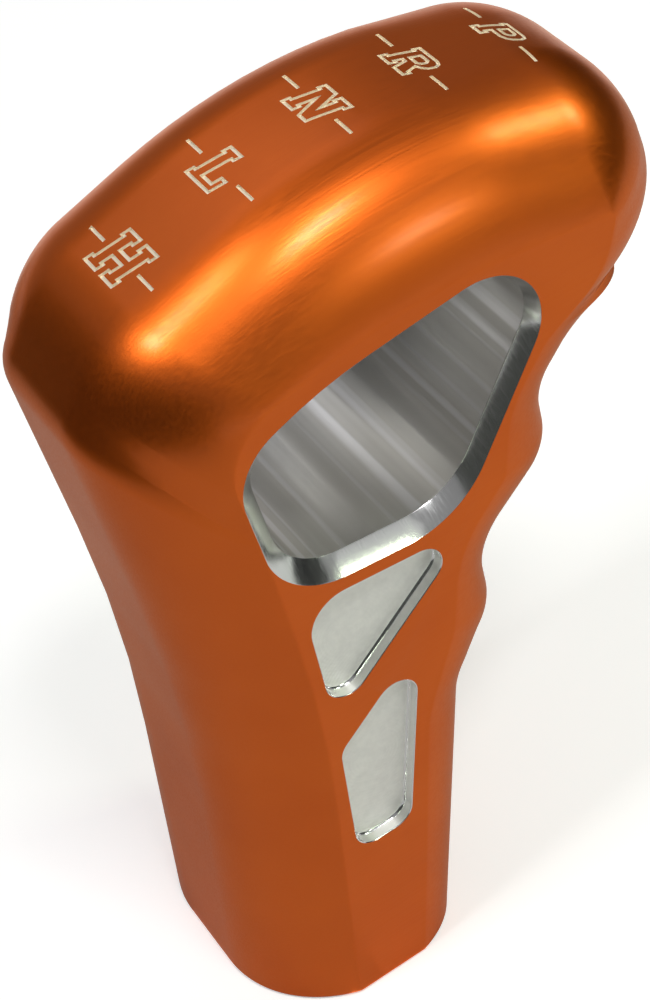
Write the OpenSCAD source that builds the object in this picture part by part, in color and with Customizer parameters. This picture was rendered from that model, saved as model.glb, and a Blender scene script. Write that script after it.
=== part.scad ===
// Gear shift handle: a domed palm head leaning forward on a straight stem, cut from one
// aluminium billet, with a through window, two shallow pockets in each flat side and a
// gear legend engraved along the crown. Two socket set screws clamp it on the lever.
// X points forward, Y to the left and Z up. The origin is the mouth of the lever bore.

/* [Body] */
// Thickness across the two flat sides
body_t = 45; // [42:1:50]
// Distance from the bore axis to the back of the base
heel_x = 17; // [16:0.1:18]
// Distance from the bore axis to the front of the base
toe_x = 15.2; // [14.6:0.1:16.5]
// Height of the point where the front of the stem turns out into the grip
instep_z = 48.1; // [44:0.1:50]
// Reach of that point in front of the bore axis
instep_x = 25.4; // [24:0.1:26.5]
// Rounding of that turn
instep_r = 15; // [8:1:20]
// Height of the bend in the back of the stem
back_z = 59.3; // [50:0.1:66]
// Distance of that bend behind the bore axis
back_x = 10.8; // [10:0.1:12]
// Rounding of the bend
back_r = 260; // [160:10:300]

/* [Finger grooves] */
// Height of the lower bump
low_bump_z = 56.1; // [54.5:0.1:58]
// Reach of the lower bump
low_bump_x = 32.4; // [31:0.1:34]
// Rounding of the lower bump
low_bump_r = 9.5; // [6:0.5:11]
// Height of the lower groove
low_groove_z = 67.9; // [66.5:0.1:69.5]
// Reach of the bottom of the lower groove
low_groove_x = 31.5; // [30.5:0.1:33]
// Rounding of the lower groove
low_groove_r = 14; // [8:1:16]
// Height of the upper bump
high_bump_z = 78.5; // [77:0.1:80]
// Reach of the upper bump
high_bump_x = 45; // [43.5:0.1:46.5]
// Rounding of the upper bump
high_bump_r = 7.6; // [5:0.2:9]
// Height of the upper groove
high_groove_z = 89.6; // [88:0.1:91]
// Reach of the bottom of the upper groove
high_groove_x = 44; // [42.5:0.1:45.5]
// Rounding of the upper groove
high_groove_r = 16; // [10:1:18]
// Height of the throat, where the groove opens under the nose
throat_z = 97.8; // [96.5:0.1:99]
// Reach of the throat
throat_x = 53.5; // [52:0.1:55]
// Rounding of the throat
throat_r = 25; // [12:1:28]

/* [Head] */
// Reach of the nose at its underside
chin_x = 71.1; // [70:0.1:72.5]
// Height of the underside of the nose
chin_z = 103.1; // [102:0.1:104.5]
// Rounding of the underside of the nose
chin_r = 9.3; // [7:0.1:9.3]
// Reach of the front of the crown
brow_x = 65.2; // [64:0.1:66.5]
// Height of the front of the crown
brow_z = 126.2; // [125:0.1:127.5]
// Rounding of the front of the crown
brow_r = 18; // [12:0.5:18]
// Height of the crown's highest tangent corner
crown_z = 133.7; // [133:0.1:135.2]
// Its distance in front of the bore axis
crown_x = 26.6; // [24:0.1:29]
// Radius of the crown
crown_r = 66; // [50:1:66]
// Height of the back of the crown
shoulder_z = 122.3; // [121.6:0.1:124]
// Its distance behind the bore axis
shoulder_x = 7.2; // [6:0.1:8.4]
// Rounding of the back of the crown
shoulder_r = 18.4; // [10:0.2:18.4]
// Height of the crease where the dome meets the back of the stem
nape_z = 112.2; // [111:0.1:113.6]
// Distance of the crease behind the bore axis
nape_x = 14.3; // [13.2:0.1:15.4]
// Rounding of the crease
nape_r = 8; // [3:0.5:12]

/* [Rounded edges] */
// Angle swept by a round-over before it meets the flat side at a crease
round_sweep = 68; // [55:1:80]
// How far the round-over reaches across the thickness at the back of the base
heel_drop = 16.7; // [13:0.1:19]
// The same at the front of the base
toe_drop = 8; // [7:0.5:11]
// The same up the front, from the instep to the throat
grip_drop = 8.2; // [7:0.2:10]
// The same round the nose
nose_drop = 18.2; // [14:0.2:20]
// The same along the crown
crown_drop = 16.2; // [13:0.2:19]
// The same down the back
back_drop = 16; // [12:0.5:19]
// Width of the round-over at the back of the base
heel_in = 12.6; // [11:0.1:14]
// Width of the round-over at the front of the base
toe_in = 8; // [7:0.1:9.5]
// Width of the round-over at the instep
instep_in = 9; // [7.5:0.1:10]
// Rounding of the flat side's corner at the instep
instep_face_r = 25; // [15:1:40]
// Width of the round-over at the lower bump
low_bump_in = 9.5; // [8.5:0.1:10.5]
// How far the flat side's corner lies above the lower bump
low_bump_up = 5.3; // [4:0.1:6]
// Rounding of the flat side's corner at the lower bump
low_bump_face_r = 8; // [4:0.5:9]
// Width of the round-over at the lower groove
low_groove_in = 5.8; // [5:0.1:7]
// How far the flat side's corner lies above the lower groove
low_groove_up = 6.4; // [5:0.1:7]
// Rounding of the flat side's corner at the lower groove
low_groove_face_r = 20; // [10:1:24]
// Width of the round-over at the upper bump
high_bump_in = 10.7; // [9.5:0.1:11.5]
// How far the flat side's corner lies above the upper bump
high_bump_up = 3.9; // [3:0.1:4.5]
// Rounding of the flat side's corner at the upper bump
high_bump_face_r = 3; // [2:0.5:5]
// Width of the round-over at the upper groove
high_groove_in = 7.5; // [6.5:0.1:8.5]
// How far the flat side's corner lies above the upper groove
high_groove_up = 3.1; // [2:0.1:4]
// Rounding of the flat side's corner at the upper groove
high_groove_face_r = 16; // [8:1:18]
// Width of the round-over at the throat
throat_in = 10.5; // [9.5:0.1:11.5]
// How far the flat side's corner lies above the throat
throat_up = 2.5; // [1.5:0.1:3.5]
// Rounding of the flat side's corner at the throat
throat_face_r = 7; // [4:0.5:9]
// Width of the round-over under the nose
chin_in = 18.5; // [17.5:0.1:19.5]
// How far the flat side's corner lies above the underside of the nose
chin_up = 2.3; // [1.5:0.1:3.5]
// Rounding of the flat side's corner at the underside of the nose
chin_face_r = 11; // [7:0.5:12]
// Width of the round-over at the front of the crown
brow_in = 9.7; // [8.5:0.1:11]
// How far the flat side's corner lies below the front of the crown
brow_down = 12.5; // [11.5:0.1:14]
// Rounding of the flat side's corner at the front of the crown
brow_face_r = 1; // [0.5:0.5:6]
// How far the flat side lies below the crown
crown_down = 15.5; // [14.7:0.1:16.2]
// Radius of the flat side's outline under the crown
crown_face_r = 80; // [40:5:80]
// Width of the round-over at the back of the crown
shoulder_in = 5.2; // [4:0.1:6.5]
// How far the flat side's corner lies below the back of the crown
shoulder_down = 9.9; // [9:0.1:11]
// Rounding of the flat side's corner at the back of the crown
shoulder_face_r = 10; // [4:0.5:12]
// Width of the round-over at the crease behind the head
nape_in = 14.7; // [13.5:0.1:16]
// How far the flat side's corner lies below that crease
nape_down = 18.3; // [16:0.1:20.5]
// Rounding of the flat side's corner at the crease behind the head
nape_face_r = 8; // [4:0.5:12]
// Width of the round-over down the back
back_in = 12.9; // [11:0.1:14]
// Rounding of the flat side's corner at the bend in the back
back_face_r = 280; // [200:10:300]

/* [Window] */
// Height of the window's sill on the bore axis, at the outer edge of its chamfer
sill_z = 83.2; // [82:0.2:86]
// Slope of the sill, falling to the front
sill_tilt = 6.8; // [3:0.2:9]
// Distance from the bore axis to the back edge of the window at the sill
window_back = 1.1; // [0.5:0.1:3]
// Lean of the window's back edge
window_back_lean = 4.5; // [2:0.1:7]
// Distance from the bore axis to the front edge of the window at the sill
window_front = 29.1; // [27:0.1:30]
// Slope of the window's front edge
window_front_slope = 55.3; // [54:0.1:57]
// Wall between the window and the crown, measured down from the crown's corner
window_roof = 20.8; // [20.5:0.1:23]
// Distance of the bend in the window's top edge in front of the bore axis
window_bend = 12.6; // [11.6:0.2:15]
// Slope of the back part of the window's top edge
window_back_slope = 21.4; // [17:0.2:22]
// Slope of the front part of the window's top edge
window_roof_slope = 6.2; // [5:0.1:7]
// Rounding of the window's sill at the back
sill_back_r = 11.3; // [8:0.1:11.5]
// Rounding of the window's sill at the front
sill_front_r = 13.6; // [9:0.2:15]
// Rounding of the window's upper front corner
window_nose_r = 9; // [7:0.2:9]
// Rounding of the window's upper back corner
window_back_r = 9.1; // [7:0.1:9.3]
// Rounding of the bend in the window's top edge
window_roof_r = 50; // [30:5:50]
// Chamfer round the window
window_chamfer = 2.4; // [1.4:0.1:2.8]
// Chamfer along the window's front edge
front_chamfer = 1.2; // [1:0.1:2.4]

/* [Pockets] */
// Depth of the pockets in the flat sides
pocket_depth = 2; // [1:0.1:3]
// Web between the window's sill and the upper pocket
pocket_web = 2.1; // [1.6:0.1:3]
// Distance from the bore axis to the back edge of the upper pocket
pocket_back = 3.3; // [2:0.1:5]
// Slope of the land between the two pockets
land_slope = 38.5; // [36:0.5:41]
// Height of the land's upper edge at the bore axis
land_z = 55.3; // [53:0.1:57]
// Width of the land between the two pockets
land_w = 4.6; // [3:0.1:6]
// Lean of the lower pocket's front edge
lower_front_lean = 12.5; // [10:0.5:14]
// Lean of the lower pocket's back edge
lower_back_lean = 4; // [2:0.5:6]
// Height of the lower pocket's foot
lower_foot_z = 30.4; // [26:0.2:34]
// Distance from the bore axis to the lower pocket's foot at the back
lower_foot_x = 1.4; // [0.4:0.1:3]
// Length of the lower pocket's foot
lower_foot_w = 8.9; // [6:0.1:10]
// Rounding of the sharp corners of the pockets
pocket_r = 3.3; // [2:0.1:3.8]
// Rounding of the blunt upper corner of the upper pocket
pocket_blunt_r = 5.4; // [3.5:0.1:5.8]

/* [Legend] */
// Distance of the first letter's middle in front of the bore axis
legend_x = 1.7; // [0:0.1:3]
// Distance from the first letter to the second
legend_pitch = 14.7; // [13:0.1:15]
// How much less each later distance is than the one before it
pitch_step = 0.7; // [0:0.1:1]
// Height of the first letter, on the middle of its line
letter_h = 6.2; // [5:0.1:6.6]
// How much lower each letter is than the one behind it
letter_step = 0.42; // [0:0.02:0.5]
// Width of the engraved line
line_w = 0.46; // [0.35:0.01:0.55]
// Depth of the engraving
engrave_d = 0.45; // [0.3:0.05:0.8]
// Slant of the letters
letter_slant = 14; // [0:1:18]
// Distance from the middle of a letter to the near end of each dash
dash_in = 4.1; // [3.9:0.1:4.6]
// Distance from the middle of a letter to the far end of each dash
dash_out = 7.6; // [6.5:0.1:8.2]

/* [Lever bore and set screws] */
// Diameter of the lever that the bore takes
lever_d = 12.8; // [10:0.2:14]
// Sliding clearance on the lever's diameter
lever_gap = 0.2; // [0.1:0.05:0.4]
// Depth of the bore
bore_depth = 40; // [34:1:46]
// Chamfer at the mouth of the bore
mouth_chamfer = 0.5; // [0.3:0.1:1]
// Thread diameter of the set screws
screw_d = 6; // [4:1:6]
// Length of a set screw
screw_l = 10; // [6:1:10]
// Distance across the flats of the screw's socket
key_af = 3; // [2:0.5:3]
// Depth of the socket
key_depth = 3.6; // [2:0.2:4]
// Chamfer on both ends of a set screw
screw_chamfer = 0.6; // [0.3:0.1:0.9]
// Radial clearance between a screw and its hole
screw_gap = 0.05; // [0.02:0.01:0.1]
// Distance from the tip of a slack screw to the bore's wall
tip_gap = 0.3; // [0.1:0.1:1]
// Height of the lower set screw
screw_z = 11; // [9:0.5:13]
// Distance between the two set screws
screw_pitch = 16; // [12:1:20]

/* [Hidden] */

half_t = body_t / 2;
bore_r = (lever_d + lever_gap) / 2;
hole_r = screw_d / 2 + screw_gap;
legend = ["H", "L", "N", "R", "P"];
round_steps = 6;
chord_sweep = 6;
cut_past = 2;
slice = 0.02;
billet_l = 2 * chin_x + 60;

// The outer outline of the body, seen from its right side and read from the heel forward.
// Each row is x, z, corner radius, steps in the corner's arc, and how far the round-over
// reaches across the thickness there.
outer_rows = [
    [-heel_x, 0, 0, 0, heel_drop],
    [toe_x, 0, 0, 0, toe_drop],
    [instep_x, instep_z, instep_r, 3, grip_drop],
    [low_bump_x, low_bump_z, low_bump_r, 4, grip_drop],
    [low_groove_x, low_groove_z, low_groove_r, 5, grip_drop],
    [high_bump_x, high_bump_z, high_bump_r, 5, grip_drop],
    [high_groove_x, high_groove_z, high_groove_r, 5, grip_drop],
    [throat_x, throat_z, throat_r, 3, grip_drop],
    [chin_x, chin_z, chin_r, 7, nose_drop],
    [brow_x, brow_z, brow_r, 7, nose_drop],
    [crown_x, crown_z, crown_r, 8, crown_drop],
    [-shoulder_x, shoulder_z, shoulder_r, 6, crown_drop],
    [-nape_x, nape_z, nape_r, 4, crown_drop],
    [-back_x, back_z, back_r, 5, back_drop]
];

// The outline of the flat side: how far each of its corners lies in front of and above the
// outer outline's corner, and its radius.
face_shift = [
    [heel_in, 0, 0],
    [-toe_in, 0, 0],
    [-instep_in, 0, instep_face_r],
    [-low_bump_in, low_bump_up, low_bump_face_r],
    [-low_groove_in, low_groove_up, low_groove_face_r],
    [-high_bump_in, high_bump_up, high_bump_face_r],
    [-high_groove_in, high_groove_up, high_groove_face_r],
    [-throat_in, throat_up, throat_face_r],
    [-chin_in, chin_up, chin_face_r],
    [-brow_in, -brow_down, brow_face_r],
    [0, -crown_down, crown_face_r],
    [shoulder_in, -shoulder_down, shoulder_face_r],
    [nape_in, -nape_down, nape_face_r],
    [back_in, 0, back_face_r]
];

function unit(v) = v / norm(v);
function turn(v, a) = [v.x * cos(a) - v.y * sin(a), v.x * sin(a) + v.y * cos(a)];
// Where the line through p at angle a meets the line through q at angle b
function meet(p, a, q, b) = let (u = turn([1, 0], a), v = turn([1, 0], b))
    p + u * cross(q - p, v) / cross(u, v);

// The centre, the start and the sweep of the arc that rounds corner q between p and s.
// Its radius is cut down where the corner's sides are too short for it.
function corner(p, q, s, r) = let (
        u = unit(p - q),
        v = unit(s - q),
        half = acos(u * v) / 2,
        reach = min(r / tan(half), 0.49 * norm(p - q), 0.49 * norm(s - q)),
        start = q + u * reach,
        centre = q + unit(u + v) * reach / cos(half))
    [centre, start - centre, sign(cross(q - p, s - q)) * (180 - 2 * half)];

// A rounded outline as points. Each corner gives its own number of steps.
function rounded(pts, radii, steps) = [
    for (i = [0 : len(pts) - 1])
        let (n = len(pts))
        if (steps[i] == 0) pts[i]
        else let (c = corner(pts[(i + n - 1) % n], pts[i], pts[(i + 1) % n], radii[i]))
            each [for (k = [0 : steps[i]]) c[0] + turn(c[1], c[2] * k / steps[i])]
];

function column(rows, i) = [for (row = rows) row[i]];
function plan(rows) = [for (row = rows) [row[0], row[1]]];

corner_steps = column(outer_rows, 3);
outer = rounded(plan(outer_rows), column(outer_rows, 2), corner_steps);
face_plan = [for (i = [0 : len(face_shift) - 1]) plan(outer_rows)[i] + plan(face_shift)[i]];
face = rounded(face_plan, column(face_shift, 2), corner_steps);
drop = [for (row = outer_rows) each [for (k = [0 : row[3]]) row[4]]];
count = len(outer);

// One ring of the body: the outer outline drawn in towards the flat side's outline
function ring(a, side) = let (
        left = (cos(a) - cos(round_sweep)) / (1 - cos(round_sweep)),
        rise = sin(a) / sin(round_sweep))
    [for (i = [0 : count - 1]) let (p = face[i] + (outer[i] - face[i]) * left)
        [p.x, side * (half_t - drop[i] + drop[i] * rise), p.y]];

// The flat side's outline drawn out past the flat side
function past_face(side) = [for (p = face) [p.x, side * (half_t + cut_past), p.y]];

module rounded_billet() {
    angles = [for (k = [0 : round_steps]) round_sweep * k / round_steps];
    points = concat(
        past_face(1),
        [for (k = [round_steps : -1 : 0]) each ring(angles[k], 1)],
        [for (k = [0 : round_steps]) each ring(angles[k], -1)],
        past_face(-1));
    last = 2 * round_steps + 3;
    faces = concat(
        [[for (i = [0 : count - 1]) i]],
        [[for (i = [count - 1 : -1 : 0]) last * count + i]],
        [for (k = [0 : last - 1], i = [0 : count - 1])
            let (a = k * count + i, b = k * count + (i + 1) % count)
            each [[a, a + count, b], [b, a + count, b + count]]]);
    polyhedron(points, faces, convexity = 8);
}

// The rounded billet faced off on both flat sides
module billet() {
    intersection() {
        rounded_billet();
        translate([-billet_l / 2, -half_t, 0]) cube([1.5 * billet_l, body_t, billet_l]);
    }
}

// The crown as height against distance, from back to front
crown_line = [
    for (i = [count - 1 : -1 : 0])
        if (outer[i].y > shoulder_z - shoulder_r / 2 && outer[i].x > -nape_x) outer[i]
];
function crown_at(x) = lookup(x, crown_line);
function crown_slope(x) = atan(crown_at(x + 0.5) - crown_at(x - 0.5));

// An outline whose corners are rounded in chords of about the same sweep
module rounded_shape(pts, radii) {
    n = len(pts);
    steps = [for (i = [0 : n - 1])
        ceil(abs(corner(pts[(i + n - 1) % n], pts[i], pts[(i + 1) % n], radii[i])[2]) / chord_sweep)];
    polygon(rounded(pts, radii, steps));
}

// Stands a side-view shape up and runs it across the thickness from y0 to y1
module across(y0, y1) {
    translate([0, y1, 0]) rotate([90, 0, 0]) linear_extrude(y1 - y0) children();
}

// The corners of the outline whose edges are given in turn, each as a point, an angle and
// how far the edge is drawn in
function edge_corners(edges) = [
    for (i = [0 : len(edges) - 1])
        let (e = edges[i], f = edges[(i + 1) % len(edges)])
            meet(e[0] + turn([0, e[2]], e[1]), e[1], f[0] + turn([0, f[2]], f[1]), f[1])
];

// The window's outline at a share of the chamfer's depth: 0 on the flat side, 1 inside
module window_shape(t) {
    bend = [window_bend, crown_z - window_roof];
    in = window_chamfer * t;
    rounded_shape(
        edge_corners([
            [[0, sill_z], -sill_tilt, in],
            [[window_front, sill_z], window_front_slope, front_chamfer * t],
            [bend, 180 + window_roof_slope, in],
            [bend, 180 + window_back_slope, in],
            [[window_back, sill_z], 270 + window_back_lean, in]
        ]),
        [for (r = [sill_front_r, window_nose_r, window_roof_r, window_back_r, sill_back_r]) r - in]);
}

module window_cut() {
    wide = -0.4;
    deep = 1.3;
    across(-half_t - cut_past, half_t + cut_past) window_shape(1);
    for (side = [-1, 1]) hull() for (t = [wide, deep])
        translate([0, side * (half_t - window_chamfer * t), 0])
            across(-slice / 2, slice / 2) window_shape(t);
}

module upper_pocket_shape() {
    rounded_shape(
        edge_corners([
            [[0, land_z], land_slope, 0],
            [[0, sill_z], 180 - sill_tilt, pocket_web],
            [[pocket_back, 0], 270, 0]
        ]),
        [pocket_r, pocket_blunt_r, pocket_r]);
}

module lower_pocket_shape() {
    rounded_shape(
        edge_corners([
            [[lower_foot_x, lower_foot_z], 0, 0],
            [[lower_foot_x + lower_foot_w, lower_foot_z], 90 - lower_front_lean, 0],
            [[0, land_z], 180 + land_slope, land_w],
            [[lower_foot_x, lower_foot_z], 270 - lower_back_lean, 0]
        ]),
        [for (i = [0 : 3]) pocket_r]);
}

module pocket_cuts() {
    floor_y = half_t - pocket_depth;
    for (side = [0, 1]) mirror([0, side, 0]) across(floor_y, half_t + cut_past) {
        upper_pocket_shape();
        lower_pocket_shape();
    }
}

// The letters are drawn on a grid of their own: a leg is 1.5 wide, a foot 0.95 high and
// juts out 0.45 at both sides, and a capital is 5.6 high. Each is the middle of the line.
cap = 5.6;
leg = 1.5;
foot = 0.95;
jut = 0.45;
gap = leg + 2 * jut;
high = cap - foot;
left_side = [[gap, cap], [0, cap], [0, high], [jut, high], [jut, foot], [0, foot]];

function letter_outline(name) =
    name == "H" ? let (w = 6) concat(
        [[0, 0], [gap, 0], [gap, foot], [jut + leg, foot], [jut + leg, 2.3]],
        [[w - jut - leg, 2.3], [w - jut - leg, foot], [w - gap, foot], [w - gap, 0], [w, 0]],
        [[w, foot], [w - jut, foot], [w - jut, high], [w, high], [w, cap]],
        [[w - gap, cap], [w - gap, high], [w - jut - leg, high], [w - jut - leg, 3.3]],
        [[jut + leg, 3.3], [jut + leg, high], [gap, high]], left_side) :
    name == "L" ? concat(
        [[0, 0], [5, 0], [5, 2.2], [4.05, 2.2], [4.05, foot], [jut + leg, foot]],
        [[jut + leg, high], [gap, high]], left_side) :
    name == "N" ? let (w = 6) concat(
        [[0, 0], [gap, 0], [gap, foot], [jut + leg, foot], [jut + leg, 3.3], [3.9, 0]],
        [[w - jut, 0], [w - jut, high], [w, high], [w, cap], [w - gap, cap]],
        [[w - gap, high], [w - jut - leg, high], [w - jut - leg, 2.7]], left_side) :
    name == "R" ? concat(
        [[0, 0], [gap, 0], [gap, foot], [jut + leg, foot], [jut + leg, 2.1], [2.6, 2.1]],
        [[3.6, 0], [5.8, 0], [5.8, foot], [5.3, foot], [4.4, 2.5], [5.1, 2.9]],
        [[5.6, 3.6], [5.6, 4.6], [5.1, 5.3], [4.3, cap]], left_side) :
    concat(
        [[0, 0], [gap, 0], [gap, foot], [jut + leg, foot], [jut + leg, 2], [4.2, 2]],
        [[5.1, 2.4], [5.6, 3.2], [5.6, 4.5], [5.1, 5.3], [4.3, cap]], left_side);

function letter_eye(name) =
    name == "R" || name == "P" ?
        [[jut + leg, 3.1], [3.6, 3.1], [4.1, 3.5], [4.1, 4.2], [3.6, high], [jut + leg, high]] : [];

// An outline with each edge moved out by a distance, or in by a negative one
function spread(pts, by) = [
    for (i = [0 : len(pts) - 1])
        let (n = len(pts),
            u = unit(pts[i] - pts[(i + n - 1) % n]),
            v = unit(pts[(i + 1) % n] - pts[i]))
            pts[i] + (turn(u, -90) + turn(v, -90)) * by / (1 + u * v)
];

// Slants a letter and puts its middle on the origin
function slanted(pts, w) = [
    for (p = pts) [p.x - w / 2 + (p.y - cap / 2) * tan(letter_slant), p.y - cap / 2]
];

module letter_line(pts, w, size) {
    path = slanted(pts, w) * size;
    difference() {
        polygon(spread(path, line_w / 2));
        polygon(spread(path, -line_w / 2));
    }
}

module letter_shape(name, size) {
    outline = letter_outline(name);
    eye = letter_eye(name);
    w = max(column(outline, 0));
    letter_line(outline, w, size);
    if (len(eye) > 0) letter_line(eye, w, size);
    for (side = [-1, 1]) translate([side * (dash_in + dash_out) / 2, 0])
        square([dash_out - dash_in, line_w], center = true);
}

// The letters stand across the crown, with their tops to the front
module legend_cuts() {
    for (i = [0 : len(legend) - 1]) {
        x = legend_x + i * legend_pitch - i * (i - 1) / 2 * pitch_step;
        translate([x, 0, crown_at(x)]) rotate([0, -crown_slope(x), 0]) rotate([0, 0, -90])
            translate([0, 0, -engrave_d]) linear_extrude(engrave_d + cut_past)
                letter_shape(legend[i], (letter_h - i * letter_step) / cap);
    }
}

// The blind bore for the lever, from its chamfered mouth up
module lever_bore() {
    translate([0, 0, -cut_past]) cylinder(h = bore_depth + cut_past, r = bore_r, $fn = 96);
    translate([0, 0, -cut_past])
        cylinder(h = mouth_chamfer + cut_past, r1 = bore_r + mouth_chamfer + cut_past, r2 = bore_r,
            $fn = 96);
}

// A hole for a set screw, from the bore axis out through the front of the stem
module screw_hole(z) {
    translate([0, 0, z]) rotate([0, 90, 0]) cylinder(h = instep_x + cut_past, r = hole_r, $fn = 48);
}

module handle_body() {
    color("chocolate") difference() {
        billet();
        window_cut();
        pocket_cuts();
        legend_cuts();
        lever_bore();
        screw_hole(screw_z);
        screw_hole(screw_z + screw_pitch);
    }
}

// A socket set screw lying along x with its tip at the bore's wall
module set_screw(z) {
    r = screw_d / 2;
    color("dimgray") translate([bore_r + tip_gap, 0, z]) rotate([0, 90, 0]) difference() {
        union() {
            cylinder(h = screw_chamfer, r1 = r - screw_chamfer, r2 = r, $fn = 48);
            translate([0, 0, screw_chamfer])
                cylinder(h = screw_l - 2 * screw_chamfer, r = r, $fn = 48);
            translate([0, 0, screw_l - screw_chamfer])
                cylinder(h = screw_chamfer, r1 = r, r2 = r - screw_chamfer, $fn = 48);
        }
        translate([0, 0, screw_l - key_depth])
            cylinder(h = key_depth + cut_past, r = key_af / 2 / cos(30), $fn = 6);
    }
}

module lower_set_screw() set_screw(screw_z);
module upper_set_screw() set_screw(screw_z + screw_pitch);

handle_body();
lower_set_screw();
upper_set_screw();
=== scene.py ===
from math import acos, atan, ceil, cos, degrees, pi, radians, sin, tan

import bmesh
import bpy
from mathutils import Matrix, Vector


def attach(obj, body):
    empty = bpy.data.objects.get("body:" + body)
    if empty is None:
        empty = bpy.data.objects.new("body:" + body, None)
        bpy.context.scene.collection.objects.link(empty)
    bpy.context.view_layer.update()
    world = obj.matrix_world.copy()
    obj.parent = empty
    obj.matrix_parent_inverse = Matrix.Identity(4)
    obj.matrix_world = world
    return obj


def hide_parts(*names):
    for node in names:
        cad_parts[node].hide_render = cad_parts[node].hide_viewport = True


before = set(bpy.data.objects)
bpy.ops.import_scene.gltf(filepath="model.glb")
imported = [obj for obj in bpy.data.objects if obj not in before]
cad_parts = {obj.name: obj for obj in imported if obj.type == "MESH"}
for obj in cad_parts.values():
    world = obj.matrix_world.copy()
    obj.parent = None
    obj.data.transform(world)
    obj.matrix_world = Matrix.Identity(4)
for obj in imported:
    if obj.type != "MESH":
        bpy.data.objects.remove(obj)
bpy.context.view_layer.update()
mm = 0.001
print("frame loaded")

# Side view of the handle in millimetres: x forward, z up, origin at the lever bore's mouth.
# A row of "outer" is x, z, corner radius, and how far the round-over reaches across the
# thickness. The same row of "face" says how far in front of it and above it the corner of the
# flat side lies, and that corner's radius.
handle = {
    "thickness": 45.0,
    "sweep": 68.0,  # the round-over meets the flat side at a crease after this angle
    "sweepGap": 0.8,  # and stops this short of it
    "flatLines": (0.1, 0.3),  # then two lines on the flat side keep the crease soft
    "rings": 26,
    "arcStep": 3.5,  # degrees of a corner's arc between two points
    "arcSteps": 3,  # fewest steps of a corner
    "edgeStep": 2.5,  # longest stretch between two points
    "outer": [
        (-17, 0, 0.5, 16.7), (15.2, 0, 0.5, 8), (25.4, 48.1, 15, 8.2), (32.4, 56.1, 9.5, 8.2),
        (31.5, 67.9, 14, 8.2), (45, 78.5, 7.6, 8.2), (44, 89.6, 16, 8.2), (53.5, 97.8, 25, 8.2),
        (71.1, 103.1, 9.3, 18.2), (65.2, 126.2, 18, 18.2), (26.6, 133.7, 66, 16.2),
        (-7.2, 122.3, 18.4, 16.2), (-14.3, 112.2, 8, 16.2), (-10.8, 59.3, 260, 16)],
    "face": [
        (12.6, 0, 0.5), (-8, 0, 0.5), (-9, 0, 25), (-9.5, 5.3, 8), (-5.8, 6.4, 20), (-10.7, 3.9, 3),
        (-7.5, 3.1, 16), (-10.5, 2.5, 7), (-18.5, 2.3, 11), (-9.7, -12.5, 1), (0, -15.5, 80),
        (5.2, -9.9, 10), (14.7, -18.3, 8), (12.9, 0, 280)],
}
half = handle["thickness"] / 2
cornerShare = 0.49  # most of its shorter edge that a rounded corner takes

# places in the handle's list of finishes
anodised, brightCut, milledWall, swirledFloor, engravedLine, boredWall = range(6)


def turned(v, angle):
    a = radians(angle)
    return Vector((v.x * cos(a) - v.y * sin(a), v.x * sin(a) + v.y * cos(a)))


def meet(p, a, q, b):  # where the line through p at angle a meets the line through q at angle b
    u, v = turned(Vector((1, 0)), a), turned(Vector((1, 0)), b)
    return p + u * ((q - p).cross(v) / u.cross(v))


def cornerArc(before, corner, after, radius):  # centre, arm to the start, sweep
    u, v = before - corner, after - corner
    room = cornerShare * min(u.length, v.length)
    u.normalize()
    v.normalize()
    halfAngle = acos(max(-1, min(1, u.dot(v)))) / 2
    reach = min(radius / tan(halfAngle), room)
    centre = corner + (u + v).normalized() * (reach / cos(halfAngle))
    side = 1 if (corner - before).cross(after - corner) > 0 else -1
    return centre, corner + u * reach - centre, side * (180 - 2 * degrees(halfAngle))


def rounded(corners, radii, steps):
    points = []
    for i, corner in enumerate(corners):
        after = corners[(i + 1) % len(corners)]
        centre, arm, sweep = cornerArc(corners[i - 1], corner, after, radii[i])
        points += [centre + turned(arm, sweep * k / steps[i]) for k in range(steps[i] + 1)]
    return points


def drawnIn(points, distance):  # a closed outline with every edge moved in, counter-clockwise
    moved = []
    for i, p in enumerate(points):
        u = (p - points[i - 1]).normalized()
        v = (points[(i + 1) % len(points)] - p).normalized()
        left = Vector((-u.y - v.y, u.x + v.x))
        moved.append(p + left * (distance / (1 + u.dot(v))))
    return moved


def handleOutlines():  # the outer line, the flat side's line, the round-over's reach
    rows = handle["outer"]
    count = len(rows)
    v = [Vector(row[:2]) for row in rows]
    f = [corner + Vector(row[:2]) for corner, row in zip(v, handle["face"])]
    radii = [[row[2] for row in table] for table in (rows, handle["face"])]
    steps = []
    for i in range(count):
        sweeps = [abs(cornerArc(c[i - 1], c[i], c[(i + 1) % count], r[i])[2])
                  for c, r in zip((v, f), radii)]
        steps.append(max(handle["arcSteps"], ceil(max(sweeps) / handle["arcStep"])))
    outer, inner = rounded(v, radii[0], steps), rounded(f, radii[1], steps)
    drop = [rows[i][3] for i in range(count) for k in range(steps[i] + 1)]
    fine = []  # long edges are divided alike on both outlines
    for i in range(len(outer)):
        j = (i + 1) % len(outer)
        parts = max(1, ceil((outer[j] - outer[i]).length / handle["edgeStep"]))
        for k in range(parts):
            t = k / parts
            fine.append((outer[i].lerp(outer[j], t), inner[i].lerp(inner[j], t),
                         drop[i] + (drop[j] - drop[i]) * t))
    return [list(column) for column in zip(*fine)]


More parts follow.
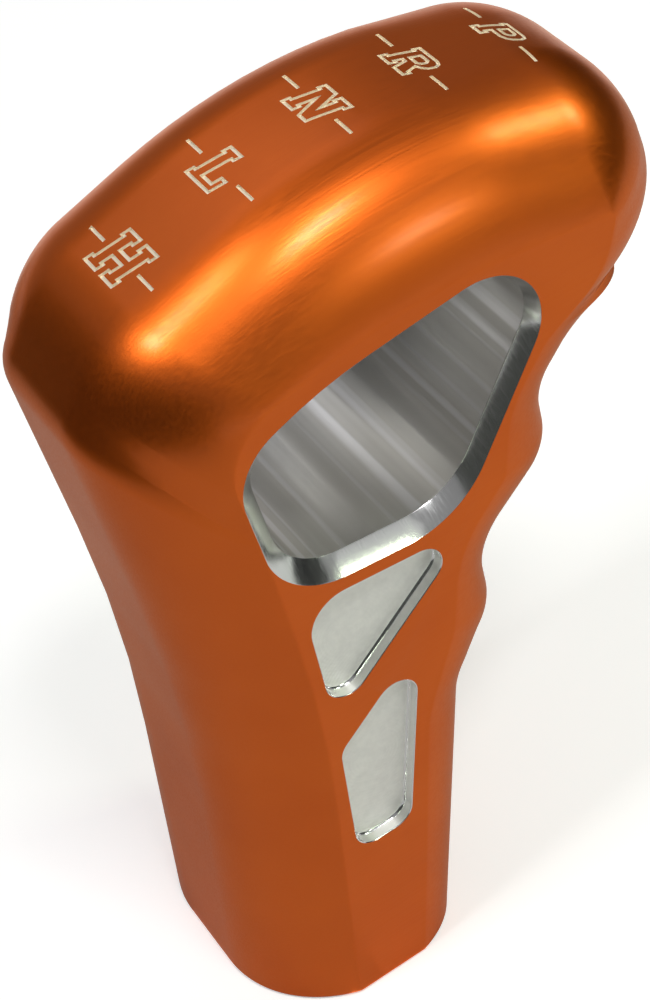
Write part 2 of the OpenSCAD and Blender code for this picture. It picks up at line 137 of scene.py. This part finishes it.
# Closed rings of 3D points, capped at both ends. The finishes are those of the first cap, of
# each strip between two rings, and of the last cap.
def loftMesh(name, rings, finishes=None):
    count = len(rings[0])
    verts = [Vector(p) * mm for ring in rings for p in ring]
    faces = [tuple(reversed(range(count)))]
    finishes = finishes or [0] * (len(rings) + 1)
    marks = [finishes[0]]
    for k in range(len(rings) - 1):
        for i in range(count):
            a, b = k * count + i, k * count + (i + 1) % count
            faces.append((a, b, b + count, a + count))
            marks.append(finishes[k + 1])
    faces.append(tuple(range((len(rings) - 1) * count, len(rings) * count)))
    marks.append(finishes[-1])
    mesh = bpy.data.meshes.new(name)
    mesh.from_pydata(verts, [], faces)
    mesh.polygons.foreach_set("material_index", marks)
    bm = bmesh.new()
    bm.from_mesh(mesh)
    bmesh.ops.recalc_face_normals(bm, faces=bm.faces)
    bm.to_mesh(mesh)
    bm.free()
    return linked(name, mesh)


def linked(name, data):
    piece = bpy.data.objects.new(name, data)
    bpy.context.collection.objects.link(piece)
    return piece


def across(points, y):
    return [(p.x, y, p.y) for p in points]


def makeBillet():
    outer, face, drop = handleOutlines()
    sweep, rings = radians(handle["sweep"]), handle["rings"]
    angles = [sweep * k / rings for k in range(rings)] + [sweep - radians(handle["sweepGap"])]

    def ring(a, side):
        left, rise = (cos(a) - cos(sweep)) / (1 - cos(sweep)), sin(a) / sin(sweep)
        return [(f.x + (o.x - f.x) * left, side * (half - d + d * rise), f.y + (o.y - f.y) * left)
                for o, f, d in zip(outer, face, drop)]

    flat = [drawnIn(face, d) for d in handle["flatLines"]]
    near = [across(line, -half) for line in reversed(flat)]
    far = [across(line, half) for line in flat]
    rounds = [ring(a, -1) for a in reversed(angles)] + [ring(a, 1) for a in angles]
    return loftMesh("handleBody", near + rounds + far), outer


billet, outline = makeBillet()
print("billet lofted", len(billet.data.polygons))


window = {
    "sill": 83.2, "sillTilt": 6.8, "back": 1.1, "backLean": 4.5, "front": 29.1,
    "frontSlope": 55.3, "bend": (12.6, 112.9), "backSlope": 21.4, "roofSlope": 6.2,
    "radii": (13.6, 9, 50, 9.1, 11.3), "steps": (18, 22, 4, 16, 16),
    "chamfer": 2.4, "frontChamfer": 1.2,
}
pockets = {
    "depth": 2.0, "floorRound": 0.7, "radius": 3.3, "bluntRadius": 5.4, "web": 2.1,
    "back": 3.3, "landSlope": 38.5, "landHeight": 55.3, "landWidth": 4.6,
    "frontLean": 12.5, "backLean": 4.0, "foot": (1.4, 30.4), "footLength": 8.9,
    "upperSteps": (14, 12, 12), "lowerSteps": (12, 12, 14, 10),
    "roundStep": 9, "brightUpTo": 54,  # degrees of the floor's round: its step, its bright part
}


def edgeCorners(edges):  # each edge: a point on it, its angle, how far it moves in
    shifted = [(p + turned(Vector((0, inset)), a), a) for p, a, inset in edges]
    return [meet(*e, *shifted[(i + 1) % len(shifted)]) for i, e in enumerate(shifted)]


def windowOutline(inset):  # inset in millimetres, as the chamfer draws its edges in
    w = window
    sill, bend = Vector((0, w["sill"])), Vector(w["bend"])
    edges = [
        (sill, -w["sillTilt"], inset),
        (Vector((w["front"], w["sill"])), w["frontSlope"],
         inset * w["frontChamfer"] / w["chamfer"]),
        (bend, 180 + w["roofSlope"], inset), (bend, 180 + w["backSlope"], inset),
        (Vector((w["back"], w["sill"])), 270 + w["backLean"], inset)]
    return rounded(edgeCorners(edges), [r - inset for r in w["radii"]], w["steps"])


def pocketOutlines(inset):
    p = pockets
    land, sill = Vector((0, p["landHeight"])), Vector((0, window["sill"]))
    foot = Vector(p["foot"])
    upper = edgeCorners([
        (land, p["landSlope"], inset), (sill, 180 - window["sillTilt"], p["web"] + inset),
        (Vector((p["back"], 0)), 270, inset)])
    lower = edgeCorners([
        (foot, 0, inset), (foot + Vector((p["footLength"], 0)), 90 - p["frontLean"], inset),
        (land, 180 + p["landSlope"], p["landWidth"] + inset), (foot, 270 - p["backLean"], inset)])
    r, blunt = p["radius"] - inset, p["bluntRadius"] - inset
    return (rounded(upper, [r, blunt, r], p["upperSteps"]),
            rounded(lower, [r] * 4, p["lowerSteps"]))


def windowCutter():
    c = window["chamfer"]
    # how far in, how deep: clear of the handle, a broken edge, the chamfer, a soft turn
    profile = [(-1.4, -1.2), (-0.14, 0), (-0.04, 0.03), (0.1, 0.13), (c - 0.12, c - 0.1),
               (c - 0.03, c + 0.02), (c, c + 0.18)]
    strips = [anodised, anodised, brightCut, brightCut, brightCut, milledWall]
    rings = [across(windowOutline(i), -(half - d)) for i, d in profile]
    rings += [across(windowOutline(i), half - d) for i, d in reversed(profile)]
    return loftMesh("windowCutter", rings,
                    [brightCut, *strips, milledWall, *reversed(strips), brightCut])


def pocketCutter(which, side):
    depth, r = pockets["depth"], pockets["floorRound"]
    turns = range(pockets["roundStep"], 91, pockets["roundStep"])
    # how far in, how deep: clear of the handle, a broken edge, the wall, the round to the floor
    lean = 0.06
    profile = [(-0.12, -1), (-0.12, 0), (-0.03, 0.03), (lean, 0.12), (lean, depth - r)]
    profile += [(lean + r * (1 - cos(radians(a))), depth - r + r * sin(radians(a))) for a in turns]
    strips = [anodised, anodised, brightCut, brightCut]
    strips += [brightCut if a <= pockets["brightUpTo"] else swirledFloor for a in turns]
    rings = [across(pocketOutlines(i)[which], side * (half - d)) for i, d in profile]
    return loftMesh("pocketCutter", rings, [brightCut, *strips, swirledFloor])


legend = {
    "letters": "HLNRP", "first": 1.7, "pitch": 14.7, "pitchStep": 0.7, "height": 6.2,
    "heightStep": 0.42, "line": 0.46, "depth": 0.45, "slant": 14.0, "dash": (4.1, 7.6),
    "clear": 1.5,  # how far the cutter stands out of the crown
    "crownFrom": (-13, 112),  # the outline past this x and above this z carries the letters
}
# The letters' grid: how high a capital is, how wide a leg, how high a foot, how far it juts out.
letterGrid = {"cap": 5.6, "leg": 1.5, "foot": 0.95, "jut": 0.45}


def letterPaths(name):
    cap, leg, foot, jut = (letterGrid[k] for k in ("cap", "leg", "foot", "jut"))
    gap, high, inner = leg + 2 * jut, cap - foot, jut + leg
    left = [(gap, cap), (0, cap), (0, high), (jut, high), (jut, foot), (0, foot)]
    stand = [(0, 0), (gap, 0), (gap, foot), (inner, foot)]
    w = 6  # width of H and N
    topRight = [(w - jut, high), (w, high), (w, cap), (w - gap, cap), (w - gap, high),
                (w - inner, high)]
    eye = [(inner, 3.1), (3.6, 3.1), (4.1, 3.5), (4.1, 4.2), (3.6, high), (inner, high)]
    return {
        "H": [stand + [(inner, 2.3), (w - inner, 2.3), (w - inner, foot), (w - gap, foot),
                       (w - gap, 0), (w, 0), (w, foot), (w - jut, foot)] + topRight
              + [(w - inner, 3.3), (inner, 3.3), (inner, high), (gap, high)] + left],
        "L": [[(0, 0), (5, 0), (5, 2.2), (4.05, 2.2), (4.05, foot), (inner, foot), (inner, high),
               (gap, high)] + left],
        "N": [stand + [(inner, 3.3), (3.9, 0), (w - jut, 0)] + topRight + [(w - inner, 2.7)]
              + left],
        "R": [stand + [(inner, 2.1), (2.6, 2.1), (3.6, 0), (5.8, 0), (5.8, foot), (5.3, foot),
                       (4.4, 2.5), (5.1, 2.9), (5.6, 3.6), (5.6, 4.6), (5.1, 5.3), (4.3, cap)]
              + left, eye],
        "P": [stand + [(inner, 2), (4.2, 2), (5.1, 2.4), (5.6, 3.2), (5.6, 4.5), (5.1, 5.3),
                       (4.3, cap)] + left, eye],
    }[name]


def crownAt(x):
    left, bottom = legend["crownFrom"]
    crown = sorted((p.x, p.y) for p in outline if p.x > left and p.y > bottom)
    for a, b in zip(crown, crown[1:]):
        if a[0] <= x <= b[0]:
            return a[1] + (b[1] - a[1]) * (x - a[0]) / max(b[0] - a[0], 1e-6)
    return crown[-1][1]


def groovePrism(path, width, bottom, top):  # a closed line of engraving round a path
    outer, inner = drawnIn(path, -width / 2), drawnIn(path, width / 2)
    n = len(path)
    verts = [(p.x, p.y, z) for z in (bottom, top) for ring in (outer, inner) for p in ring]
    faces = []
    for i in range(n):
        j = (i + 1) % n
        oi, oj, ni, nj = i, j, n + i, n + j
        faces += [(oi, ni, nj, oj), (oi + 2 * n, oj + 2 * n, nj + 2 * n, ni + 2 * n),
                  (oi, oj, oj + 2 * n, oi + 2 * n), (nj, ni, ni + 2 * n, nj + 2 * n)]
    return verts, faces


def boxPrism(x0, x1, y0, y1, bottom, top):
    corners = ((x0, y0), (x1, y0), (x1, y1), (x0, y1))
    verts = [(x, y, z) for z in (bottom, top) for x, y in corners]
    return verts, [(3, 2, 1, 0), (4, 5, 6, 7), (0, 1, 5, 4), (1, 2, 6, 5), (2, 3, 7, 6),
                   (3, 0, 4, 7)]


def legendCutter():
    verts, faces = [], []
    line, deep, clear = legend["line"], legend["depth"], legend["clear"]
    middle, slant = letterGrid["cap"] / 2, tan(radians(legend["slant"]))
    near, far = legend["dash"]
    for i, name in enumerate(legend["letters"]):
        x = legend["first"] + i * legend["pitch"] - i * (i - 1) / 2 * legend["pitchStep"]
        size = (legend["height"] - i * legend["heightStep"]) / letterGrid["cap"]
        paths = letterPaths(name)
        wide = max(p[0] for p in paths[0])
        solids = []
        for path in paths:
            ring = [Vector((u - wide / 2 + (v - middle) * slant, v - middle)) * size
                    for u, v in path]
            solids.append(groovePrism(ring, line, -deep, clear))
        for a, b in ((near, far), (-far, -near)):
            solids.append(boxPrism(a, b, -line / 2, line / 2, -deep, clear))
        slope = atan(crownAt(x + 0.5) - crownAt(x - 0.5))
        lying = Matrix.Rotation(-slope, 4, "Y") @ Matrix.Rotation(-pi / 2, 4, "Z")
        place = Matrix.Translation((x, 0, crownAt(x))) @ lying
        for points, sides in solids:
            faces += [[len(verts) + k for k in side] for side in sides]
            verts += [(place @ Vector(p)) * mm for p in points]
    mesh = bpy.data.meshes.new("legendCutter")
    mesh.from_pydata(verts, [], faces)
    mesh.polygons.foreach_set("material_index", [engravedLine] * len(faces))
    return linked("legendCutter", mesh)


lever = {
    "radius": 6.5, "depth": 40.0, "mouth": 0.5, "sides": 128,
    "screwHole": 3.05, "screwHeights": (11, 27), "screwRim": 0.7, "screwSides": 64,
    "front": 17.0, "frontLean": 7.5 / 42,  # the stem's front, by height, where the holes open
}


def spun(r, i, sides, z):
    return Vector((r * cos(2 * pi * i / sides), r * sin(2 * pi * i / sides), z))


def turnedMesh(name, profile, sides, place):  # a profile of radius and height, turned about z
    rings = [[place @ spun(r, i, sides, z) for i in range(sides)] for r, z in profile]
    return loftMesh(name, rings, [boredWall] * (len(rings) + 1))


def boreCutters():
    r, deep, mouth = lever["radius"], lever["depth"], lever["mouth"]
    bore = [(r + mouth + 1, -1), (r + mouth, 0), (r, mouth), (r, deep), (r - 0.4, deep + 0.2)]
    cutters = [turnedMesh("boreCutter", bore, lever["sides"], Matrix.Identity(4))]
    hole, rim = lever["screwHole"], lever["screwHole"] + lever["screwRim"]
    for height in lever["screwHeights"]:
        place = Matrix.Translation((0, 0, height)) @ Matrix.Rotation(pi / 2, 4, "Y")
        front = lever["front"] + height * lever["frontLean"]
        profile = [(hole, 3), (hole, front - 0.5), (rim, front + 0.25), (rim, front + 3)]
        cutters.append(turnedMesh("screwHoleCutter", profile, lever["screwSides"], place))
    return cutters


def cutAway(piece, cutters, finishes):  # exact booleans: each cut face keeps its cutter's finish
    for each in [piece] + cutters:
        for finish in finishes:
            each.data.materials.append(finish)
    for cutter in cutters:
        cut = piece.modifiers.new("cut", "BOOLEAN")
        cut.operation, cut.solver, cut.object = "DIFFERENCE", "EXACT", cutter
        cut.material_mode = "TRANSFER"
    evaluated = piece.evaluated_get(bpy.context.evaluated_depsgraph_get())
    shaped = bpy.data.meshes.new_from_object(evaluated)
    piece.modifiers.clear()
    piece.data = shaped
    for cutter in cutters:
        bpy.data.objects.remove(cutter)


class Wire:  # a socket that takes part in sums
    def __init__(self, finish, socket):
        self.finish, self.socket = finish, socket

    def sum(self, operation, a, b):
        return self.finish.node("ShaderNodeMath", {"operation": operation}, {0: a, 1: b})

    def __add__(self, other): return self.sum("ADD", self, other)
    def __radd__(self, other): return self.sum("ADD", other, self)
    def __sub__(self, other): return self.sum("SUBTRACT", self, other)
    def __rsub__(self, other): return self.sum("SUBTRACT", other, self)
    def __mul__(self, other): return self.sum("MULTIPLY", self, other)
    def __rmul__(self, other): return self.sum("MULTIPLY", other, self)


class Finish:
    def __init__(self, name):
        self.material = bpy.data.materials.new(name)
        self.material.use_nodes = True
        self.tree = self.material.node_tree
        self.tree.nodes.clear()

    def node(self, kind, settings=None, inputs=None, output=0):
        made = self.tree.nodes.new(kind)
        for key, value in (settings or {}).items():
            setattr(made, key, value)
        for key, value in (inputs or {}).items():
            if isinstance(value, Wire):
                self.tree.links.new(value.socket, made.inputs[key])
            else:
                made.inputs[key].default_value = value
        return Wire(self, made.outputs[output])

    def place(self, scale=(1, 1, 1)):  # a point of the object in millimetres, then scaled
        spot = self.node("ShaderNodeTexCoord", output="Object")
        return self.node("ShaderNodeMapping", inputs={
            "Vector": spot, "Scale": tuple(s / mm for s in scale)})

    def grain(self, scale, detail):  # noise with so many grains to a millimetre
        return self.node("ShaderNodeTexNoise", inputs={
            "Vector": self.place(scale), "Scale": 1.0, "Detail": detail})

    def band(self, value, low, high, fromLow=0.3, fromHigh=0.7):
        return self.node("ShaderNodeMapRange", inputs={
            "Value": value, "From Min": fromLow, "From Max": fromHigh,
            "To Min": low, "To Max": high})

    def mix(self, factor, a, b):  # sockets 6 and 7 and output 2 are a Mix node's colours
        a, b = ((*c, 1) if isinstance(c, tuple) else c for c in (a, b))
        return self.node("ShaderNodeMix", {"data_type": "RGBA"}, {"Factor": factor, 6: a, 7: b}, 2)

    def shade(self, colour, roughness, height, depth, **rest):  # metal, its bump in millimetres
        bump = self.node("ShaderNodeBump", inputs={"Height": height, "Distance": depth * mm})
        inputs = {"Base Color": colour if isinstance(colour, Wire) else (*colour, 1),
                  "Roughness": roughness, "Metallic": 1.0, "Normal": bump}
        inputs.update({key.replace("_", " "): value for key, value in rest.items()})
        return self.surface(inputs)

    def surface(self, inputs):
        shader = self.node("ShaderNodeBsdfPrincipled", inputs=inputs)
        out = self.tree.nodes.new("ShaderNodeOutputMaterial")
        self.tree.links.new(shader.socket, out.inputs["Surface"])
        return self.material


# In each finish the grains are counted per millimetre along x, y and z.
anodise = {
    "colour": (0.83, 0.153, 0.014), "deep": (0.78, 0.137, 0.012), "edge": (0.95, 0.75, 0.55),
    "roughness": (0.34, 0.42), "film": 0.3, "filmRoughness": 0.2, "filmIndex": 1.5,
    "cutterLines": (0.02, 4.5, 2.2), "lineHeight": 0.012, "clouds": (0.05, 0.05, 0.05),
    "cloudRoughness": 0.02,
}
bareMetal = {
    "colour": (0.88, 0.88, 0.88),
    "cutLines": (4.5, 0.5, 0.5), "cutRoughness": (0.13, 0.23), "cutHeight": 0.0004,
    "boreLines": (0.05, 0.05, 3.0), "boreRoughness": (0.22, 0.36), "boreHeight": 0.01,
}
windowWall = {
    # glint is a painted highlight colour, laid along thin lines of the wall
    "light": (0.86, 0.845, 0.82), "dark": (0.62, 0.60, 0.57), "glint": (0.97, 0.96, 0.98),
    "streaks": (0.25, 0.004, 0.25), "fine": (1.1, 0.015, 1.1), "glints": (0.55, 0.003, 0.55),
    "glintBand": (0.56, 0.68), "roughness": (0.30, 0.46), "fineRoughness": 0.03, "height": 0.06,
}
pocketFloor = {
    "cool": (0.90, 0.89, 0.85), "pale": (0.97, 0.96, 0.92), "roughness": (0.52, 0.66),
    "centres": ((9, 70), (8, 45), (14, 55)), "fine": (0.9, 0.9, 0.9), "height": 0.02,
    "swirl": {"Scale": 0.55, "Distortion": 1.2, "Detail": 2.0, "Detail Scale": 0.6},
}
engraving = {"colour": (0.96, 0.87, 0.72), "fine": (2, 2, 2), "roughness": (0.42, 0.6),
             "height": 0.01}
blackSteel = {"colour": (0.045, 0.045, 0.05), "worn": (0.09, 0.088, 0.085),
              "fine": (1.2, 1.2, 1.2), "roughness": (0.3, 0.48), "height": 0.01}


def anodisedFinish():  # fine passes of the mill along the head under a clear film
    a, f = anodise, Finish("orangeAnodise")
    lines, clouds = f.grain(a["cutterLines"], 2), f.grain(a["clouds"], 2)
    colour = f.mix(f.band(clouds, 0, 1), a["colour"], a["deep"])
    rough = f.band(lines, *a["roughness"])
    rough = rough + f.band(clouds, -a["cloudRoughness"], a["cloudRoughness"])
    return f.shade(colour, rough, lines, a["lineHeight"], Coat_Weight=a["film"],
                   Coat_Roughness=a["filmRoughness"], Coat_IOR=a["filmIndex"],
                   Specular_Tint=(*a["edge"], 1))


def brightCutFinish():  # the window's chamfer and the pocket walls
    b, f = bareMetal, Finish("brightCut")
    lines = f.grain(b["cutLines"], 2)
    return f.shade(b["colour"], f.band(lines, *b["cutRoughness"]), lines, b["cutHeight"])


def windowWallFinish():  # streaks run through the window, along y, with painted highlights as thin bright glint lines
    w, f = windowWall, Finish("milledWall")
    streaks, fine = f.grain(w["streaks"], 2), f.grain(w["fine"], 3)
    glints = f.band(f.grain(w["glints"], 1), 0, 1, *w["glintBand"])
    colour = f.mix(f.band(streaks, 0, 1), w["light"], w["dark"])
    # painted highlights: thin glint lines lightened in the colour
    colour = f.mix(glints * 0.8, colour, w["glint"])
    rough = f.band(streaks, *w["roughness"])
    rough = rough + f.band(fine, -w["fineRoughness"], w["fineRoughness"]) - glints * 0.04
    return f.shade(colour, rough, streaks * 3 + fine * 0.12 + glints * 0.3, w["height"])


def pocketFloorFinish():  # swirls that a fly cutter leaves
    p, f = pocketFloor, Finish("swirledFloor")
    swirls = []
    for x, z in p["centres"]:
        spot = f.node("ShaderNodeVectorMath", {"operation": "SUBTRACT"}, {
            0: f.place(), 1: (x, 0, z)})
        rings = {"wave_type": "RINGS", "rings_direction": "Y"}
        swirls.append(f.node("ShaderNodeTexWave", rings, {"Vector": spot, **p["swirl"]}, 1))
    fine = f.grain(p["fine"], 4)
    colour = f.mix(f.band(fine, 0, 1), p["cool"], p["pale"])
    height = (swirls[0] + swirls[1] + swirls[2]) * 0.35 + fine
    return f.shade(colour, f.band(fine, *p["roughness"]), height, p["height"], Metallic=0.7)


def engravingFinish():
    e, f = engraving, Finish("engravedLine")
    fine = f.grain(e["fine"], 3)
    return f.shade(e["colour"], f.band(fine, *e["roughness"]), fine, e["height"], Metallic=0.6)


def boreFinish():
    b, f = bareMetal, Finish("boredWall")
    feed = f.grain(b["boreLines"], 3)
    return f.shade(b["colour"], f.band(feed, *b["boreRoughness"]), feed, b["boreHeight"])


def blackSteelFinish():
    b, f = blackSteel, Finish("blackSteel")
    fine = f.grain(b["fine"], 4)
    colour = f.mix(f.band(fine, 0, 1), b["colour"], b["worn"])
    return f.shade(colour, f.band(fine, *b["roughness"]), fine, b["height"])


def smoothed(piece, sharpAngle):
    piece.data.shade_smooth()
    piece.data.set_sharp_from_angle(angle=radians(sharpAngle))


pocketCutters = [pocketCutter(which, side) for which in (0, 1) for side in (-1, 1)]
cutAway(billet, [windowCutter()] + pocketCutters + [legendCutter()] + boreCutters(),
        [anodisedFinish(), brightCutFinish(), windowWallFinish(), pocketFloorFinish(),
         engravingFinish(), boreFinish()])
smoothed(billet, 16)
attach(billet, "root")
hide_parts("handle_body")
print("handle cut", len(billet.data.polygons))


screw = {
    "radius": 3.0, "length": 10.0, "pitch": 1.0, "thread": 0.55, "chamfer": 0.6,
    "threadSlope": 2.4, "tipGap": 0.3, "key": 3.0, "keyDepth": 3.6, "keyEdge": 0.15,
    "drillTip": 0.7, "centre": 0.05, "sides": 48, "rows": 100,
}


def setScrew(node, height):  # a socket set screw with a real thread, lying along x
    s, sides, rows = screw, screw["sides"], screw["rows"]
    tip = Matrix.Translation((lever["radius"] + s["tipGap"], 0, height))
    place = tip @ Matrix.Rotation(pi / 2, 4, "Y")

    def threadRadius(i, z):
        turn = (z / s["pitch"] - i / sides) % 1
        groove = s["thread"] * max(0, 1 - abs(turn - 0.5) * s["threadSlope"])
        end = min(z, s["length"] - z)
        return min(s["radius"] - groove, s["radius"] - s["chamfer"] + end)

    def keyRadius(i):  # a hexagon's side or corner
        return s["key"] / 2 / cos(radians((360 * i / sides + 30) % 60 - 30))

    def ring(radius, z):
        return [place @ spun(radius(i), i, sides, z) for i in range(sides)]

    rings = [ring(lambda i: s["centre"], 0)]
    for k in range(rows + 1):
        z = s["length"] * k / rows
        rings.append(ring(lambda i: threadRadius(i, z), z))
    for grow, down in ((s["keyEdge"], 0), (0, s["keyEdge"]), (0, s["keyDepth"])):
        rings.append(ring(lambda i: keyRadius(i) + grow, s["length"] - down))
    rings.append(ring(lambda i: s["centre"], s["length"] - s["keyDepth"] - s["drillTip"]))
    piece = loftMesh(node.replace("_set_screw", "SetScrew"), rings)
    piece.data.materials.append(steel)
    smoothed(piece, 28)
    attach(piece, "root")
    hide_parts(node)


steel = blackSteelFinish()
for node, height in zip(("lower_set_screw", "upper_set_screw"), lever["screwHeights"]):
    setScrew(node, height)
print("set screws turned")


studio = {
    "floor": (0.90, 0.905, 0.905), "floorSize": 6, "floorHeight": -0.0003, "glow": 0.38,
    "world": 0.22, "middle": (0.02, 0, 0.1),
    # place, width and length in metres, watts, colour: soft boxes around the handle
    "lamps": {
        "backLight": ((-0.35, -0.02, 0.95), (0.19, 0.18), 2.6, (1, 1, 1)),
        "palmLight": ((0.08, -0.37, 0.95), (0.20, 0.13), 2.4, (1, 1, 1)),
        "noseLight": ((0.55, -0.18, 0.52), (0.12, 0.12), 0.78, (0.85, 1, 0.75)),
        "edgeLight": ((0.36, -0.80, 0.50), (0.15, 0.09), 0.80, (0.85, 1, 0.7)),
        "sillLight": ((0.34, -0.70, 0.66), (0.34, 0.26), 0.075, (1, 1, 1)),
        "fillLight": ((0.10, 0.75, 1.05), (0.8, 0.5), 0.8, (1, 1, 1))},
    # grey cards that only the metal mirrors, painted shade in its reflections: x, stretch along y,
    # stretch up z, brightness
    "uprightCards": {
        "leftCard": (-0.18, (-0.50, 0.30), (0.04, 0.27), 0.08),
        "noseCard": (0.42, (-0.45, 0.35), (0.02, 0.32), 0.03)},
    # grey cards on the floor around the stem's foot that only the metal mirrors, painted shade in
    # its reflections of the floor: corners, brightness
    "lyingHeight": -0.0001,
    "lyingCards": {
        "stemCard": ([(-0.0172, -0.006), (-0.0055, -0.0227), (0.0, -0.0227), (0.03, -0.60),
                      (-0.45, -0.60), (-0.45, -0.20)], 0.56),
        "frontCard": ([(0.0, -0.0227), (0.0075, -0.0227), (0.60, -0.45), (0.60, -0.60),
                       (0.03, -0.60)], 0.67),
        "rightCard": ([(0.0075, -0.0227), (0.0154, -0.0145), (0.0154, 0.0145),
                       (0.0075, 0.0227), (0.60, 0.30), (0.60, -0.45)], 0.70),
        "backCard": ([(-0.0172, -0.006), (-0.45, -0.20), (-0.45, 0.60), (-0.005, 0.60),
                      (-0.0055, 0.0227), (-0.0172, 0.006)], 0.55)},
}


def makeFloor():
    bpy.ops.mesh.primitive_plane_add(size=studio["floorSize"],
                                     location=(0, 0, studio["floorHeight"]))
    floor = bpy.context.object
    floor.name = "floor"
    f = Finish("paleFloor")
    tint = f.band(f.grain((0.004, 0.004, 0.004), 2), 0, 1)
    colour = f.mix(tint, studio["floor"], tuple(0.985 * c for c in studio["floor"]))
    seen = f.node("ShaderNodeLightPath")  # by the camera, and by metal that mirrors the floor
    for ray in ("Is Glossy Ray", "Is Transmission Ray"):
        seen = seen + f.node("ShaderNodeLightPath", output=ray)
    glow = f.mix(seen, (0, 0, 0), (studio["glow"],) * 3)
    floor.data.materials.append(f.surface({
        "Base Color": colour, "Roughness": 0.7, "Specular IOR Level": 0.2,
        "Emission Color": glow, "Emission Strength": 1.0}))


def softBox(name, spot, size, power, tone):
    lamp = bpy.data.lights.new(name, "AREA")
    lamp.shape, lamp.size, lamp.size_y = "RECTANGLE", *size
    lamp.energy, lamp.color = power, tone
    piece = linked(name, lamp)
    piece.location = spot
    aim = Vector(studio["middle"]) - Vector(spot)
    piece.rotation_euler = aim.to_track_quat("-Z", "Y").to_euler()


def makeCard(name, corners, tone):
    mesh = bpy.data.meshes.new(name)
    mesh.from_pydata(corners, [], [range(len(corners))])
    card = linked(name, mesh)
    f = Finish(name + "Paper")
    fibre = f.band(f.grain((0.05, 0.05, 0.05), 2), 0, 1)
    card.data.materials.append(f.surface({
        "Base Color": f.mix(fibre, (tone,) * 3, (tone * 0.95,) * 3), "Roughness": 0.9,
        "Specular IOR Level": 0.1}))
    # seen only in the metal's reflections, where the cards paint shade
    card.visible_camera = card.visible_shadow = card.visible_diffuse = False


def makeWorld():
    world = bpy.data.worlds.new("studio")
    bpy.context.scene.world = world
    world.use_nodes = True
    background = world.node_tree.nodes["Background"].inputs
    background["Color"].default_value = (1, 1, 1, 1)
    background["Strength"].default_value = studio["world"]


photoView = {  # for a picture 650 wide and 1000 high
    "spot": (-0.0662, -0.2104, 0.3042), "focal": 2432.76, "height": 1000,  # focal in pixels
    "right": (0.8297, -0.5298, -0.1758), "down": (-0.4932, -0.5484, -0.6752), "sensor": 24,
}


def makeCamera():
    camera = bpy.data.cameras.new("camera")
    camera.sensor_fit, camera.sensor_height = "VERTICAL", photoView["sensor"]
    camera.lens = photoView["focal"] / photoView["height"] * photoView["sensor"]
    camera.clip_start = 0.01
    right, down = Vector(photoView["right"]), Vector(photoView["down"])
    right.normalize()
    up = -(down - right * down.dot(right)).normalized()
    back = right.cross(up)
    piece = linked("camera", camera)
    turn = Matrix((right, up, back)).transposed().to_4x4()
    piece.matrix_world = Matrix.Translation(photoView["spot"]) @ turn
    bpy.context.scene.camera = piece


makeFloor()
makeWorld()
for name, lamp in studio["lamps"].items():
    softBox(name, *lamp)
for name, (x, (y0, y1), (z0, z1), tone) in studio["uprightCards"].items():
    makeCard(name, [(x, y0, z0), (x, y1, z0), (x, y1, z1), (x, y0, z1)], tone)
for name, (corners, tone) in studio["lyingCards"].items():
    makeCard(name, [(x, y, studio["lyingHeight"]) for x, y in corners], tone)
makeCamera()
bpy.context.scene.view_settings.view_transform = "Standard"
print("stage set")
